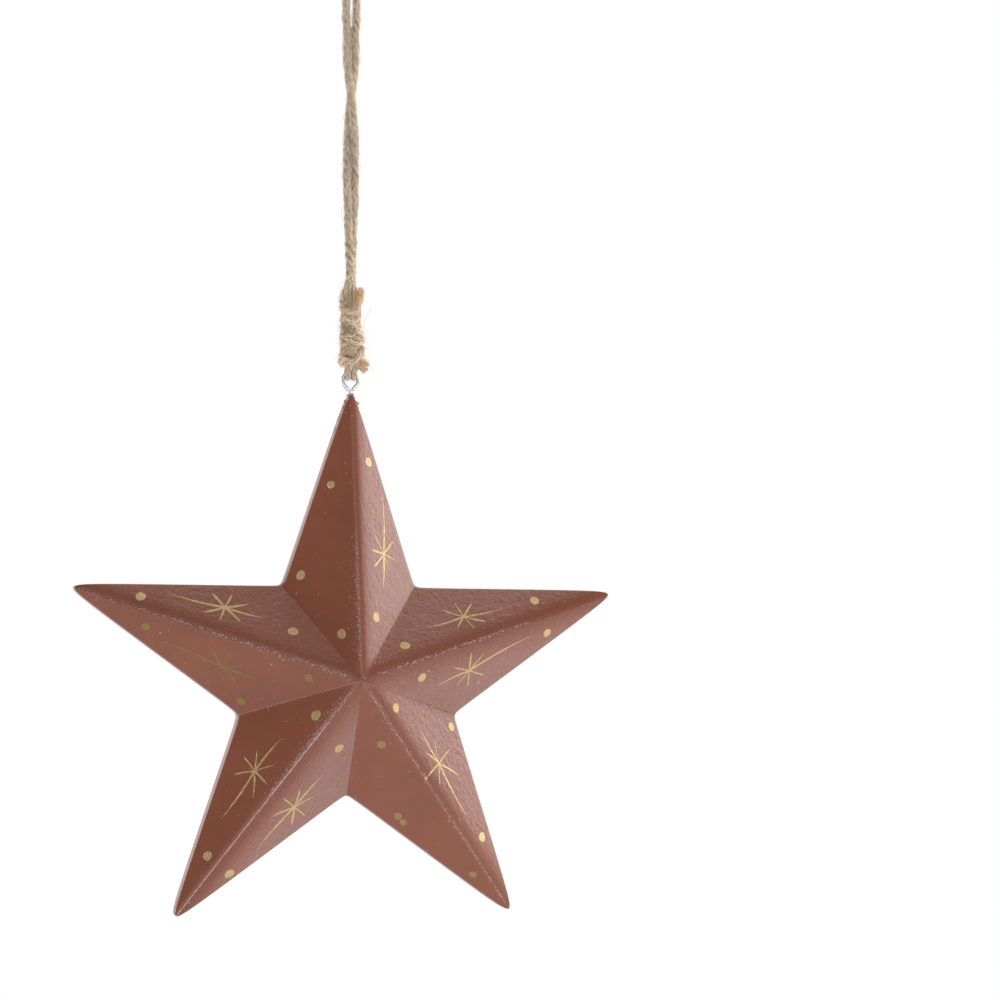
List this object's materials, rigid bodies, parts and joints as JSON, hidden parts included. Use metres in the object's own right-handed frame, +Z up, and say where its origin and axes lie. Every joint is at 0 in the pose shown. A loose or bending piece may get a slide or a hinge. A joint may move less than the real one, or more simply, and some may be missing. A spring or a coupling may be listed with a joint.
{
  "type": "star ornament",
  "caption": "Faceted painted wooden star that hangs face forward by a wire screw eye from a whipped loop of twine.",
  "frame": {"origin": "underside of the twine at the top of the loop, where a hook or nail carries it", "axes": "+Z up along the hanging twine, -Y towards the star's painted front, +X to the right seen from the front"},
  "size_m": [0.2, 0.0386, 0.3599],
  "materials": {
    "brown_paint": "satin red-brown paint brushed over sanded softwood, grain and brush marks showing through",
    "gold_paint": "thin hand-painted metallic gold craft paint over the brown",
    "bright_wire": "bright zinc-plated steel wire",
    "jute_twine": "natural plied jute twine, hairy and matt"
  },
  "bodies": {
    "hook_loop": {"loop_top": "jute_twine"},
    "knot": {"standing_leg": "jute_twine", "winding_leg": "jute_twine", "whipping": "jute_twine", "inner_strand": "jute_twine", "tail_strand": "jute_twine"},
    "bight": {"eye_bight": "jute_twine"},
    "star": {"star_body": "brown_paint", "screw_eye": "bright_wire"}
  },
  "joints": [
    {"name": "twine_twist", "type": "hinge", "parent": "hook_loop", "child": "knot", "pos_m": [0, 0, -0.0356], "axis": [0, 0, 1], "range_deg": [-180, 180], "stiffness_Nm_per_rad": 0.0004},
    {"name": "side_swing", "type": "hinge", "parent": "knot", "child": "bight", "pos_m": [0, 0, -0.15677], "axis": [0, 1, 0], "range_deg": [-40, 40]},
    {"name": "front_swing", "type": "hinge", "parent": "bight", "child": "star", "pos_m": [0, 0, -0.15827], "axis": [1, 0, 0], "range_deg": [-40, 40]}
  ]
}
